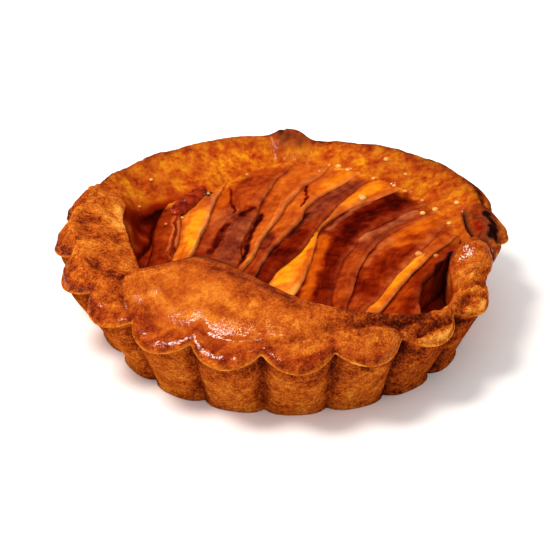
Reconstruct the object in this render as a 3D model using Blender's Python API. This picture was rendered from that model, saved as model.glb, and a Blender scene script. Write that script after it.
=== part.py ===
"""A small peach tart baked in a fluted tin: pastry shell, baked filling and a fanned, sliced half peach.

Run it with  blender --background --python part.py  or from Blender's text editor.
Units are metres, +Z is up, the origin is the middle of the underside and -Y is the front,
where a flap of the pastry is folded over the fruit. Bearings are degrees round the tart,
seen from above: 0 at the front, 90 at the right (+X), 180 at the back.
"""

import math

import bpy

MM = 0.001

# --- Driving dimensions -------------------------------------------------------------------

FLUTES = 20  # hollows of the tin round the side
FIRST_CUSP = -5.4  # bearing of one of the creases between two flutes, in degrees
CREASE_ROUND = 0.16  # how rounded the creases are, as a share of a flute's depth

BASE_RADIUS = 43.9 * MM  # to the bottom of the creases, at the foot
BASE_FLUTE = 2.0 * MM  # how far a flute stands out at the foot
WALL_RADIUS = 48.8 * MM  # the same two sizes at the top of the wall
WALL_FLUTE = 4.0 * MM
FOOT_ROUND = 1.6 * MM  # rounding between base and wall

LIP_RADIUS = 50.4 * MM  # the pastry edge that stands out over the wall
LIP_FLUTE = 4.0 * MM
LIP_HEIGHT = 19.3 * MM  # at the creases
LIP_DROOP = 2.2 * MM  # how much lower the edge hangs at the flutes
LIP_THICKNESS = 1.2 * MM

CREST_RADIUS = 47.2 * MM  # top of the plain rim
CREST_HEIGHT = 22.6 * MM
BROW_RADIUS = 43.4 * MM  # where the inside of the rim turns down to the fruit
BROW_DROP = 3.2 * MM  # the brow below the crest

FLAP_REACH = 18.3 * MM  # how far the folded flap comes inwards from the rim
FLAP_RISE = 3.9 * MM  # how far it stands above the rim
FLAP_LEFT = (-61.0, -39.0)  # bearings over which the flap starts
FLAP_RIGHT = (-30.0, 40.0)  # bearings over which it runs out again

FLOOR_HEIGHT = 4.0 * MM  # pastry under the filling
FILLING_TOP = 9.6 * MM
WALL_BATTER = 1.3 * MM  # how far the inner wall leans in, from brow to floor
GAP = 0.35 * MM  # between separate pieces that touch
END_CLEARANCE = 1.8 * MM  # between the ends of a slice and the curved wall of the shell

# The upper edge of each peach slice, from left to right: where it bends to the right, as (x, y) in
# millimetres, and its sideways run for each unit of length before and after the bend.
SLICE_EDGES = (
    (-24.4, 20.0, 0.02, 0.50),
    (-20.0, 10.0, 0.13, 0.24),
    (-5.1, 23.4, 0.16, 0.52),
    (3.0, 24.3, 0.32, 0.75),
    (9.3, 22.8, 0.35, 1.20),
    (18.5, 25.6, 0.42, 1.40),
    (14.6, 14.2, 0.15, 2.10),
    (18.3, 1.2, 0.13, 1.36),
    (25.2, 2.5, 0.15, 1.95),
    (28.5, -12.0, 0.60, 0.60),
    (28.3, -17.7, 0.60, 0.70),
    (32.4, -19.4, 0.00, 0.75),
)
FIRST_SLICE_WIDTH = 6.0 * MM
SLICE_BEND = 8.0 * MM  # length over which it bends
SLICE_STEP = 1.3 * MM  # each slice's right edge stands this far above its middle
SLICE_END = 0.7  # height of a slice's rounded ends, as a share of its full height

FRUIT_HEIGHT = 17.0 * MM  # middle of the fanned fruit
FRUIT_SLOPE = (0.075, 0.03)  # it rises to the right and to the back
FRUIT_LIMITS = (12.0 * MM, 20.5 * MM)

STEPS_PER_FLUTE = 8
SLICE_STATIONS = 10

# Principled BSDF colour, roughness
COLOURS = {
    "crust": ((0.50, 0.19, 0.05), 0.45),
    "filling": ((0.28, 0.06, 0.01), 0.25),
    "slice": ((0.62, 0.25, 0.04), 0.25),
}


# --- Small helpers ------------------------------------------------------------------------


def smooth_step(low, high, value):
    """0 below low, 1 above high, with a smooth ramp between."""
    t = min(1.0, max(0.0, (value - low) / (high - low)))
    return t * t * (3.0 - 2.0 * t)


def mix(first, second, share):
    return first + (second - first) * share


def turned(bearing):
    """The same bearing between -180 and 180 degrees."""
    return (bearing + 180.0) % 360.0 - 180.0


def bell(bearing, centre, half_width):
    """A smooth bump of height 1 round the rim."""
    return math.exp(-((turned(bearing - centre) / half_width) ** 2))


def at_bearing(bearing, radius, height):
    angle = math.radians(bearing)
    return (radius * math.sin(angle), -radius * math.cos(angle), height)


def add_object(name, points, faces, colour):
    """A smooth-shaded mesh object with its own material."""
    mesh = bpy.data.meshes.new(name)
    mesh.from_pydata(points, [], faces)
    mesh.shade_smooth()
    mesh.set_sharp_from_angle(angle=math.radians(40.0))
    base_colour, roughness = colour
    material = bpy.data.materials.new(name)
    material.use_nodes = True
    shader = material.node_tree.nodes["Principled BSDF"]
    shader.inputs["Base Color"].default_value = (*base_colour, 1.0)
    shader.inputs["Roughness"].default_value = roughness
    shader.inputs["Metallic"].default_value = 0.0
    mesh.materials.append(material)
    made = bpy.data.objects.new(name, mesh)
    bpy.context.scene.collection.objects.link(made)
    return made


def closed_rings(rings, centre_first, centre_last):
    """Points and faces of a body made of rings of equal length, closed at both ends by a fan."""
    count = len(rings[0])
    points = [point for ring in rings for point in ring]
    faces = []
    for level in range(len(rings) - 1):
        low, high = level * count, (level + 1) * count
        for step in range(count):
            after = (step + 1) % count
            faces.append((low + step, low + after, high + after, high + step))
    first, last = len(points), len(points) + 1
    top = (len(rings) - 1) * count
    points += [centre_first, centre_last]
    for step in range(count):
        after = (step + 1) % count
        faces.append((first, after, step))
        faces.append((last, top + step, top + after))
    return points, faces


# --- The pastry shell ---------------------------------------------------------------------


def flute(bearing):
    """0 in the creases between the flutes, 1 on the middle of a flute."""
    share = ((bearing - FIRST_CUSP) * FLUTES / 360.0) % 1.0
    wave = math.hypot(math.sin(math.pi * share), CREASE_ROUND) - CREASE_ROUND
    return (wave / (math.hypot(1.0, CREASE_ROUND) - CREASE_ROUND)) ** 0.7


def panel(bearing):
    """The same for the wall, whose panels are flatter and whose hollows are narrower."""
    return 1.0 - (1.0 - flute(bearing)) ** 1.7


def flap(bearing):
    """1 where the folded flap reaches furthest in, 0 on the plain rim."""
    here = turned(bearing)
    return smooth_step(*FLAP_LEFT, here) * (1.0 - smooth_step(*FLAP_RIGHT, here))


def flap_height(bearing):
    """The flap stays high to the right for longer than it stays wide."""
    here = turned(bearing)
    return smooth_step(-66.0, -40.0, here) * (1.0 - 0.9 * smooth_step(-20.0, 52.0, here))


def crest(bearing):
    """Radius and height of the highest line of the rim and flap."""
    radius = CREST_RADIUS - FLAP_REACH * flap(bearing)
    height = CREST_HEIGHT + FLAP_RISE * flap_height(bearing)
    radius += 1.8 * MM * bell(bearing, -98.0, 30.0)  # swollen left side
    height += 1.5 * MM * bell(bearing, -92.0, 28.0)
    height -= 2.9 * MM * bell(bearing, 50.0, 16.0)  # torn, low rim at the right front
    radius += 1.2 * MM * bell(bearing, 118.0, 22.0)  # the rim stands higher at the right of the back
    height += 1.2 * MM * bell(bearing, 118.0, 22.0)
    radius += 1.2 * MM * bell(bearing, 48.0, 12.0)
    height += 1.5 * MM * smooth_step(0.0, 0.75, bell(bearing, 178.5, 5.0))  # burnt lump at the back
    height -= 1.4 * MM * bell(bearing, 169.5, 4.0)  # the dip beside it
    height -= 1.0 * MM * bell(bearing, 164.0, 9.0)
    return radius, height


def brow(bearing):
    """Radius and height of the inner edge of the rim and flap."""
    radius = BROW_RADIUS
    radius -= 6.2 * MM * bell(bearing, -74.0, 32.0)  # broad left side
    radius -= 6.6 * MM * bell(bearing, -143.0, 14.0)  # the rim runs furthest over the fruit here
    radius -= 2.4 * MM * bell(bearing, 130.0, 26.0)
    radius += 3.4 * MM * bell(bearing, 49.0, 12.0)  # thin torn rim at the right of the front
    radius -= 2.8 * MM * bell(bearing, 74.0, 8.5)  # the flute pressed in over the fruit
    crest_radius, crest_height = crest(bearing)
    share = flap(bearing)
    radius = mix(radius, crest_radius - 1.8 * MM, share)
    return min(radius, crest_radius - 1.8 * MM), crest_height - mix(BROW_DROP, 1.5 * MM, share)


def crease_foot(bearing):
    """The foot of the wall in the coves between the flutes."""
    return BASE_RADIUS - 1.6 * MM * bell(bearing, -62.0, 20.0)


def floor_radius(bearing):
    """Where the inner wall meets the floor, so that the wall is 2 mm thick in the coves too."""
    return min(brow(bearing)[0] - WALL_BATTER, crease_foot(bearing) - 2.0 * MM)


def crust_profile(bearing):
    """The crust's section at a bearing, as (radius, height) from the middle of the base to the floor."""
    squeezed = bell(bearing, 75.0, 12.0)  # one flute at the right is pressed nearly flat
    bulge = flute(bearing) * (1.0 - 0.85 * squeezed)
    flat = panel(bearing) * (1.0 - 0.85 * squeezed)
    foot = crease_foot(bearing) + BASE_FLUTE * flat
    wall = WALL_RADIUS + WALL_FLUTE * flat
    lip = LIP_RADIUS + LIP_FLUTE * bulge - 1.0 * MM * squeezed
    lip_height = LIP_HEIGHT - LIP_DROOP * bulge
    lip_height += 1.8 * MM * bell(bearing, 74.0, 18.0) + 1.3 * MM * bell(bearing, -92.0, 28.0)
    lip_height += 1.4 * MM * bell(bearing, 118.0, 22.0)
    crest_radius, crest_height = crest(bearing)
    brow_radius, brow_height = brow(bearing)
    section = [
        (foot - FOOT_ROUND, 0.0),
        (foot, FOOT_ROUND),
        (mix(foot, wall, 0.5), lip_height * 0.5),
        (wall, lip_height - LIP_THICKNESS),
        (lip, lip_height - 0.6 * LIP_THICKNESS),
        (lip - 0.3 * MM, lip_height + 0.4 * LIP_THICKNESS),
    ]
    top_start = lip_height + 0.4 * LIP_THICKNESS
    for share in (0.25, 0.5, 0.75, 1.0):
        rise = math.sin(share * math.pi / 2.0) ** 0.85
        section.append((mix(lip, crest_radius, share), mix(top_start, crest_height, rise)))
    section.append((brow_radius, brow_height))
    section.append((floor_radius(bearing), FLOOR_HEIGHT))
    return section


def make_crust():
    count = FLUTES * STEPS_PER_FLUTE
    bearings = [FIRST_CUSP + 360.0 * step / count for step in range(count)]
    sections = [crust_profile(bearing) for bearing in bearings]
    rings = [
        [at_bearing(bearing, *section[level]) for bearing, section in zip(bearings, sections)]
        for level in range(len(sections[0]))
    ]
    points, faces = closed_rings(rings, (0.0, 0.0, 0.0), (0.0, 0.0, FLOOR_HEIGHT))
    return add_object("crust", points, faces, COLOURS["crust"])


# --- The filling --------------------------------------------------------------------------


def inside_radius(bearing):
    """How far out a piece inside the shell may reach, at any height."""
    return brow(bearing)[0] - WALL_BATTER - GAP


def make_filling():
    """The baked filling, a pad on the pastry floor whose edge sinks a little."""
    count = FLUTES * STEPS_PER_FLUTE // 2
    bearings = [360.0 * step / count for step in range(count)]
    levels = (
        (1.0, FLOOR_HEIGHT + GAP),
        (1.0, FILLING_TOP - 0.9 * MM),
        (0.93, FILLING_TOP - 0.1 * MM),
        (0.6, FILLING_TOP),
    )
    rings = [
        [at_bearing(bearing, (floor_radius(bearing) - GAP) * share, height) for bearing in bearings]
        for share, height in levels
    ]
    points, faces = closed_rings(
        rings, (0.0, 0.0, FLOOR_HEIGHT + GAP), (0.0, 0.0, FILLING_TOP)
    )
    return add_object("filling", points, faces, COLOURS["filling"])


# --- The peach ----------------------------------------------------------------------------


def edge_across(edge, along):
    """The sideways place of a slice's upper edge at the distance `along` from front to back."""
    bend_x, bend_y, lean, sweep = edge
    past = along - bend_y
    swept = 0.5 * (past + math.hypot(past, SLICE_BEND) - SLICE_BEND)
    return bend_x + lean * past + (sweep - lean) * swept


def has_room(x, y):
    bearing = math.degrees(math.atan2(x, -y))
    return math.hypot(x, y) < inside_radius(bearing) - END_CLEARANCE


def edge_span(edge):
    """The stretch of an edge, from front to back, that lies inside the shell."""
    places = [0.25 * MM * step for step in range(-180, 181)]
    inside = [y for y in places if has_room(edge_across(edge, y), y)]
    return inside[0], inside[-1]


def fruit_height(x, y):
    height = FRUIT_HEIGHT + FRUIT_SLOPE[0] * x + FRUIT_SLOPE[1] * y
    return min(FRUIT_LIMITS[1], max(FRUIT_LIMITS[0], height))


def slice_section(left, right, share):
    """The six corners of a slice's section, clockwise as seen from its foot end."""
    (left_x, left_y), (right_x, right_y) = left, right
    bottom = FILLING_TOP + GAP
    middle_x, middle_y = mix(left_x, right_x, 0.62), mix(left_y, right_y, 0.62)
    rounding = (1.0 - (2.0 * share - 1.0) ** 6) ** 0.5
    full = fruit_height(middle_x, middle_y) - bottom
    top = bottom + full * mix(SLICE_END, 1.0, rounding)
    return [
        (left_x, left_y, bottom),
        (left_x, left_y, top - SLICE_STEP),
        (middle_x, middle_y, top),
        (mix(left_x, right_x, 0.9), mix(left_y, right_y, 0.9), top + SLICE_STEP),
        (right_x, right_y, top + 0.6 * SLICE_STEP),
        (right_x, right_y, bottom),
    ]


def make_slice(number, left_edge, right_edge):
    """One slice of the fanned peach, between the edge curves of two neighbours."""
    left_span, right_span = edge_span(left_edge), edge_span(right_edge)
    sections = []
    for station in range(SLICE_STATIONS):
        share = station / (SLICE_STATIONS - 1.0)
        left_y, right_y = mix(*left_span, share), mix(*right_span, share)
        left = (edge_across(left_edge, left_y), left_y)
        right = (edge_across(right_edge, right_y), right_y)
        sections.append(slice_section(left, right, share))

    def centre(section):
        return tuple(sum(axis) / len(section) for axis in zip(*section))

    points, faces = closed_rings(sections, centre(sections[0]), centre(sections[-1]))
    return add_object(f"slice_{number:02d}", points, faces, COLOURS["slice"])


def shifted(edge, distance):
    """The same edge moved sideways."""
    x, *rest = edge
    return (x + distance, *rest)


def make_slices():
    rights = [(x * MM, y * MM, lean, sweep) for x, y, lean, sweep in SLICE_EDGES]
    lefts = [shifted(rights[0], -FIRST_SLICE_WIDTH)]
    lefts += [shifted(edge, GAP * math.hypot(1.0, edge[3])) for edge in rights]
    for number, (left, right) in enumerate(zip(lefts, rights), start=1):
        make_slice(number, left, right)


def main():
    for old in list(bpy.data.objects):
        bpy.data.objects.remove(old)
    make_crust()
    make_filling()
    make_slices()


main()
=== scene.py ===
# %% [markdown]
# # A peach tart for one
#
# This lesson dresses the construction model of a small peach tart: a fluted shell of shortcrust with its
# front folded over as a flap, a little dark caramelised juice, and half a peach cut into slices and fanned
# out. The construction model is loaded first and stays fixed. The shell, the juice and the slices made here
# stand for its nodes and are shaped by the same measures, so that nothing has to be fitted afterwards. A lump
# of jam, a few set bubbles and some burnt bits are too small for the construction model and are added here.

# %% Load the construction model
import math

import bpy
from mathutils import Matrix, Vector, noise
from mathutils.bvhtree import BVHTree


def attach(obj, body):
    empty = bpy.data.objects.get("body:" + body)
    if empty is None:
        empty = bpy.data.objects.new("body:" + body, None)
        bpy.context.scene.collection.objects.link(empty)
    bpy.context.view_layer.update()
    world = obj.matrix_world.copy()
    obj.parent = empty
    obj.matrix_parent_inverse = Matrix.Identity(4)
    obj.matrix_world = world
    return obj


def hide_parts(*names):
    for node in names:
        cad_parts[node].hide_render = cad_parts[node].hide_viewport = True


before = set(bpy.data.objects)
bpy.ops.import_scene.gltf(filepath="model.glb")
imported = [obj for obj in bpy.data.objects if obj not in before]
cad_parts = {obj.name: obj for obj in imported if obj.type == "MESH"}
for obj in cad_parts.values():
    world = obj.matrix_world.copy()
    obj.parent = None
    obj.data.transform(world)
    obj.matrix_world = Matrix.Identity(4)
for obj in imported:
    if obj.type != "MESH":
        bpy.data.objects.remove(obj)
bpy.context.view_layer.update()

MM = 0.001

# %% [markdown]
# ## Small tools
#
# Baked food has no straight line in it. Most shapes below are worked out with a few small functions: a soft
# ramp, a blend, a bump round the rim, noise that never repeats, and the nearness to a line drawn on the plan.
# Bearings go round the tart in degrees: 0 is the front, 90 the right, 180 the back. Shapes are worked out in
# millimetres.

# %% Ramp, blend, bump and noise


def ramp(low, high, value):
    """0 below low, 1 above high, with a smooth ramp between."""
    t = min(1.0, max(0.0, (value - low) / (high - low)))
    return t * t * (3.0 - 2.0 * t)


def mix(first, second, share):
    return first + (second - first) * share


def turned(bearing):
    """The same bearing between -180 and 180 degrees."""
    return (bearing + 180.0) % 360.0 - 180.0


def bump(bearing, centre, half_width):
    """A smooth bump of height 1 round the rim."""
    return math.exp(-((turned(bearing - centre) / half_width) ** 2))


def rough(x, y, z, size, seed=0.0):
    """Smooth noise from -1 to 1 whose lumps are about `size` millimetres wide."""
    return noise.noise(Vector((x / size + seed, y / size - seed, z / size + 0.37 * seed)))


def on_plan(bearing, radius):
    """x and y of a place given by its bearing and its distance from the middle."""
    angle = math.radians(bearing)
    return radius * math.sin(angle), -radius * math.cos(angle)


def bearing_of(x, y):
    return math.degrees(math.atan2(x, -y))


def near(x, y, path, width):
    """1 on the line through the points of the path, falling softly to 0 two widths away."""
    best = 1e9
    for (ax, ay), (bx, by) in zip(path, path[1:]):
        run_x, run_y = bx - ax, by - ay
        t = ((x - ax) * run_x + (y - ay) * run_y) / (run_x * run_x + run_y * run_y)
        t = min(1.0, max(0.0, t))
        best = min(best, math.hypot(x - ax - t * run_x, y - ay - t * run_y))
    return math.exp(-((best / width) ** 2)) if best < 3.0 * width else 0.0


def through(points, place):
    """A point on the smooth curve through the points; place 2.5 is half-way from the third to the fourth."""
    index = min(int(place), len(points) - 2)
    t = place - index
    before = points[max(index - 1, 0)]
    start, end = points[index], points[index + 1]
    after = points[min(index + 2, len(points) - 1)]
    return tuple(
        0.5 * (2 * b + (c - a) * t + (2 * a - 5 * b + 4 * c - d) * t * t + (3 * b - a - 3 * c + d) * t ** 3)
        for a, b, c, d in zip(before, start, end, after)
    )


# %% [markdown]
# ## The camera
#
# The photograph looks down at about 31 degrees from a little way off. The sharp creases of the rim lie on one
# level circle, and how that circle is squashed in the picture gave the angle, the distance and the lens.

# %% Camera
CAMERA_DISTANCE = 408.0
CAMERA_ELEVATION = 30.9
CAMERA_AIM = (-0.9, 0.0, 7.3)
CAMERA_ROLL = 0.45
LENS = 108.7

elevation = math.radians(CAMERA_ELEVATION)
bpy.ops.object.camera_add(
    location=(
        CAMERA_AIM[0] * MM,
        (CAMERA_AIM[1] - CAMERA_DISTANCE * math.cos(elevation)) * MM,
        (CAMERA_AIM[2] + CAMERA_DISTANCE * math.sin(elevation)) * MM,
    )
)
camera = bpy.context.object
camera.name = "camera"
facing = Matrix.Rotation(math.radians(90.0 - CAMERA_ELEVATION), 3, "X")
camera.rotation_euler = (facing @ Matrix.Rotation(math.radians(CAMERA_ROLL), 3, "Z")).to_euler()
camera.data.lens = LENS
camera.data.clip_start = 0.01
bpy.context.scene.camera = camera
print("camera stands", round(CAMERA_DISTANCE), "mm from the tart")

# %% [markdown]
# ## Floor and light
#
# The tart stands on a white sweep. One large soft lamp hangs high behind it and to the left: it draws the
# bright lines on the glazed lips and throws the soft shadow to the right. The room around is white to the
# camera, but gives the glaze little to mirror, as in a studio with dark corners.

# %% Floor and light
FLOOR_SIZE = 4.0
LAMP_PLACE = (-225.0, -75.0, 500.0)
LAMP_SIZE = 0.19
LAMP_POWER = 2.6
ROOM_SEEN, ROOM_LIGHT, ROOM_MIRRORED = 1.02, 0.9, 0.015


def colour(code):
    """An sRGB hex value as the linear colour that the shaders work with."""
    parts = [int(code[at:at + 2], 16) / 255.0 for at in (1, 3, 5)]
    linear = [part / 12.92 if part <= 0.04045 else ((part + 0.055) / 1.055) ** 2.4 for part in parts]
    return (*linear, 1.0)


def add(tree, kind, inputs=None, stops=None, out=0, **settings):
    """Adds a shader node; inputs holds a value or another node's output for each socket it names."""
    made = tree.nodes.new("ShaderNode" + kind)
    for name, value in settings.items():
        setattr(made, name, value)
    for socket, value in (inputs or {}).items():
        if isinstance(value, bpy.types.NodeSocket):
            tree.links.new(value, made.inputs[socket])
        else:
            made.inputs[socket].default_value = value
    for index, (place, code) in enumerate(stops or ()):
        stop = made.color_ramp.elements[index] if index < 2 else made.color_ramp.elements.new(place)
        stop.position = place
        stop.color = colour(code) if isinstance(code, str) else (code, code, code, 1.0)
    return made.outputs[out]


def fresh():
    """Object mode and nothing selected, so that the next operator changes only the new piece."""
    if bpy.context.object is not None and bpy.context.object.mode != "OBJECT":
        bpy.ops.object.mode_set(mode="OBJECT")
    bpy.ops.object.select_all(action="DESELECT")


fresh()
bpy.ops.mesh.primitive_plane_add(size=FLOOR_SIZE, location=(0.0, 0.0, 0.0))
floor = bpy.context.object
floor.name = "floor"
paper = bpy.data.materials.new("white paper sweep")
paper.use_nodes = True
shader = paper.node_tree.nodes["Principled BSDF"]
shader.inputs["Base Color"].default_value = colour("#f8f7f6")
shader.inputs["Roughness"].default_value = 0.9
shader.inputs["Specular IOR Level"].default_value = 0.1
floor.data.materials.append(paper)

fresh()
bpy.ops.object.light_add(type="AREA", location=[value * MM for value in LAMP_PLACE])
lamp = bpy.context.object
lamp.name = "soft_lamp"
lamp.rotation_euler = (-Vector(LAMP_PLACE)).to_track_quat("-Z", "Y").to_euler()
lamp.data.shape = "DISK"
lamp.data.size = LAMP_SIZE
lamp.data.energy = LAMP_POWER
lamp.data.color = colour("#fff6ec")[:3]

scene = bpy.context.scene
scene.view_settings.view_transform = "Standard"
scene.world = bpy.data.worlds.new("white room")
scene.world.use_nodes = True
room = scene.world.node_tree
room.nodes["Background"].inputs["Color"].default_value = (1.0, 1.0, 1.0, 1.0)
ray = room.nodes.new("ShaderNodeLightPath")
camera_gain = add(room, "Math", {0: ray.outputs["Is Camera Ray"], 1: ROOM_SEEN - ROOM_LIGHT},
                  operation="MULTIPLY")
glossy_loss = add(room, "Math", {0: ray.outputs["Is Glossy Ray"], 1: ROOM_MIRRORED - ROOM_LIGHT},
                  operation="MULTIPLY")
both = add(room, "Math", {0: camera_gain, 1: glossy_loss}, operation="ADD")
level = add(room, "Math", {0: both, 1: ROOM_LIGHT}, operation="ADD")
room.links.new(level, room.nodes["Background"].inputs["Strength"])
print("one lamp of", LAMP_SIZE / MM, "mm and a white room")

# %% [markdown]
# ## The shape of the shell
#
# A tin with twenty flutes gave the wall its form: each flute bulges out, and between two flutes there is a
# sharp crease. At the top the dough spilled over the tin as a thin lip. From the lip the rim rises to a
# rounded crest and falls to the fruit. At the front the dough is folded inwards, so there the crest lies much
# further in and higher. All of it is one section whose measures change with the bearing.

# %% Measures of the shell
FLUTES = 20
FIRST_CREASE = -5.4
CREASE_ROUND = 0.16
BASE_RADIUS, BASE_FLUTE = 43.9, 2.0
WALL_RADIUS, WALL_FLUTE = 48.8, 4.0
LIP_RADIUS, LIP_FLUTE = 50.4, 4.0
LIP_HEIGHT, LIP_DROOP = 19.3, 2.2
CREST_RADIUS, CREST_HEIGHT = 47.2, 22.6
BROW_RADIUS, BROW_DROP = 43.4, 3.2
FLAP_REACH, FLAP_RISE = 18.3, 3.9
FLAP_LEFT, FLAP_RIGHT = (-61.0, -39.0), (-30.0, 40.0)
FLOOR_HEIGHT = 4.0
WALL_BATTER = 1.3
FRUIT_HEIGHT = 17.0
FRUIT_SLOPE = (0.075, 0.03)
FRUIT_LIMITS = (12.0, 20.5)
# Bearings of the rim's own shapes, in degrees.
THICK_LEFT = -98.0
LEFT_RISE, RIGHT_RISE = -92.0, 118.0
BACK_LOBE = -143.0
TONGUE, TORN_EDGE = 74.0, 64.0
BACK_LUMP = 178.0


def fruit_height(x, y):
    """The fanned fruit lies in a plane that rises to the right and to the back."""
    height = FRUIT_HEIGHT + FRUIT_SLOPE[0] * x + FRUIT_SLOPE[1] * y
    return min(FRUIT_LIMITS[1], max(FRUIT_LIMITS[0], height))


def flute(bearing):
    """0 in the creases between the flutes, 1 on the middle of a flute."""
    share = ((bearing - FIRST_CREASE) * FLUTES / 360.0) % 1.0
    wave = math.hypot(math.sin(math.pi * share), CREASE_ROUND) - CREASE_ROUND
    return (wave / (math.hypot(1.0, CREASE_ROUND) - CREASE_ROUND)) ** 0.7


def panel(bearing):
    """The same for the wall, whose panels are flatter and whose coves are narrower."""
    return 1.0 - (1.0 - flute(bearing)) ** 1.7


def flap(bearing):
    """1 where the folded flap reaches furthest in, 0 on the plain rim."""
    here = turned(bearing)
    return ramp(*FLAP_LEFT, here) * (1.0 - ramp(*FLAP_RIGHT, here))


def flap_height(bearing):
    here = turned(bearing)
    return ramp(-66.0, -40.0, here) * (1.0 - 0.9 * ramp(-20.0, 52.0, here))


def crest(bearing):
    """Radius and height of the highest line of the rim and flap."""
    radius = CREST_RADIUS - FLAP_REACH * flap(bearing)
    height = CREST_HEIGHT + FLAP_RISE * flap_height(bearing)
    radius += 1.8 * bump(bearing, THICK_LEFT, 30.0) + 1.2 * bump(bearing, RIGHT_RISE, 22.0)
    height += 1.5 * bump(bearing, LEFT_RISE, 28.0) + 1.2 * bump(bearing, RIGHT_RISE, 22.0)
    height -= 2.9 * bump(bearing, 50.0, 16.0) + bump(bearing, 164.0, 9.0)
    height += 1.5 * ramp(0.0, 0.75, bump(bearing, 178.5, 5.0)) - 1.4 * bump(bearing, 169.5, 4.0)
    radius += 1.2 * bump(bearing, 48.0, 12.0)
    return radius, height


def brow(bearing):
    """Radius and height of the inner edge of the rim and flap."""
    radius = BROW_RADIUS - 6.2 * bump(bearing, -74.0, 32.0) - 6.6 * bump(bearing, BACK_LOBE, 14.0)
    radius += 3.4 * bump(bearing, 49.0, 12.0) - 2.4 * bump(bearing, 130.0, 26.0)
    radius -= 2.8 * bump(bearing, TONGUE, 8.5)
    crest_radius, crest_height = crest(bearing)
    share = flap(bearing)
    radius = min(mix(radius, crest_radius - 1.8, share), crest_radius - 1.8)
    return radius, crest_height - mix(BROW_DROP, 1.5, share) + 1.6 * bump(bearing, TONGUE, 8.5)


def open_slope(bearing):
    """1 where the rim slopes gently down to the fruit, 0 at the flap, the deep left and the torn right."""
    here = turned(bearing - 180.0)
    return ramp(-100.0, -78.0, here) * (1.0 - ramp(58.0, 72.0, here))


def crease_foot(bearing):
    """The foot of the wall in the creases between the flutes."""
    return BASE_RADIUS - 1.6 * bump(bearing, -62.0, 20.0)


def floor_radius(bearing):
    """Where the inner wall meets the floor: 2 mm inside the foot, so that it stays inside the creases."""
    return min(brow(bearing)[0] - WALL_BATTER, crease_foot(bearing) - 2.0)


def slope_foot(bearing):
    """Where that slope ends on the fruit: it runs far in at the left of the back and at the right."""
    radius = 41.2 - 7.6 * bump(bearing, BACK_LOBE, 12.0) - 2.6 * bump(bearing, -158.0, 9.0)
    radius -= 2.6 * bump(bearing, 135.0, 22.0) + bump(bearing, -122.0, 9.0)
    x, y = on_plan(bearing, radius)
    return radius, fruit_height(x, y)


SLOPE_SHARES = (0.08, 0.18, 0.28, 0.36, 0.5, 0.72, 1.0)
FOLDED_RISE = (0.11, 0.20, 0.27, 0.40, 0.62, 0.86, 1.0)


def shell_section(bearing):
    """The shell's section as (radius, height) points, from the middle of the base round to the floor."""
    squeezed = bump(bearing, 75.0, 12.0)
    bulge = flute(bearing) * (1.0 - 0.85 * squeezed)
    flat = panel(bearing) * (1.0 - 0.85 * squeezed)
    foot = crease_foot(bearing) + BASE_FLUTE * flat
    wall = WALL_RADIUS + WALL_FLUTE * flat
    lip = LIP_RADIUS + LIP_FLUTE * bulge - squeezed
    lip_height = LIP_HEIGHT - LIP_DROOP * bulge + 1.4 * bump(bearing, RIGHT_RISE, 22.0)
    lip_height += 1.8 * bump(bearing, TONGUE, 18.0) + 1.3 * bump(bearing, LEFT_RISE, 28.0)
    crest_radius, crest_height = crest(bearing)
    brow_radius, brow_height = brow(bearing)
    section = [
        (0.0, 0.0),
        (foot * 0.6, 0.0),
        (foot - 1.5, 0.0),
        (foot - 0.3, 0.4),
        (foot + 0.1, 1.8),
        (mix(foot, wall, 0.5) + 0.25, lip_height * 0.5),
        (wall - 0.4, lip_height - 3.0),
        (wall - 0.3, lip_height - 1.5),
        (lip - 0.7, lip_height - 1.05),
        (lip, lip_height - 0.70),
        (lip - 0.35, lip_height + 0.02),
    ]
    share, slope = flap(bearing), open_slope(bearing)
    for across, folded_rise in zip(SLOPE_SHARES, FOLDED_RISE):
        rise = mix(math.sin(across * math.pi / 2.0) ** 0.9, folded_rise, min(1.0, 2.0 * share))
        section.append((mix(lip, crest_radius, across), mix(lip_height + 0.25, crest_height, rise)))
    foot_radius, foot_height = slope_foot(bearing)
    ragged = rough(bearing * 0.12, 0.0, 0.0, 1.0, 61.0) + 0.6 * rough(bearing * 0.35, 0.0, 0.0, 1.0, 63.0)
    foot_radius += 1.3 * ragged
    pit = bump(bearing, -110.0, 15.0)
    inner = brow_radius - WALL_BATTER - 5.0 * pit
    edge = (mix(brow_radius, mix(crest_radius, foot_radius, 0.55), slope),
            mix(brow_height, mix(crest_height, foot_height, 0.52), slope))
    low = (mix(mix(brow_radius - 0.7, brow_radius + 0.9, share), foot_radius - 1.0, slope),
           mix(mix(brow_height - 2.2, brow_height - 3.0, share), foot_height - 0.8, slope))
    under = mix(FLOOR_HEIGHT, brow_height, 0.5)
    floor_edge = min(inner, floor_radius(bearing))
    section += [
        edge,
        low,
        (mix(inner + 2.6 * pit, foot_radius + 0.6, slope), mix(under, foot_height - 2.4, slope)),
        (mix(floor_edge, inner, 0.5), mix(FLOOR_HEIGHT, brow_height, 0.4)),
        (floor_edge, FLOOR_HEIGHT),
        (floor_edge - 4.0, FLOOR_HEIGHT),
        (0.0, FLOOR_HEIGHT),
    ]
    return section


SECTION_NAMES = (
    "centre base heel foot_low foot wall_middle wall_top under_lip lip_under lip_edge lip_top "
    "slope_1 slope_2 slope_3 slope_4 slope_5 slope_6 crest brow brow_low under inside floor floor_middle end"
).split()
RINGS_TO_NEXT = (2, 2, 2, 2, 12, 12, 4, 3, 3, 3, 3, 5, 5, 5, 9, 11, 12, 10, 8, 4, 3, 3, 2, 2)
PLACE = {name: index for index, name in enumerate(SECTION_NAMES)}
print(len(SECTION_NAMES), "stations,", sum(RINGS_TO_NEXT), "rings")

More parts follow.
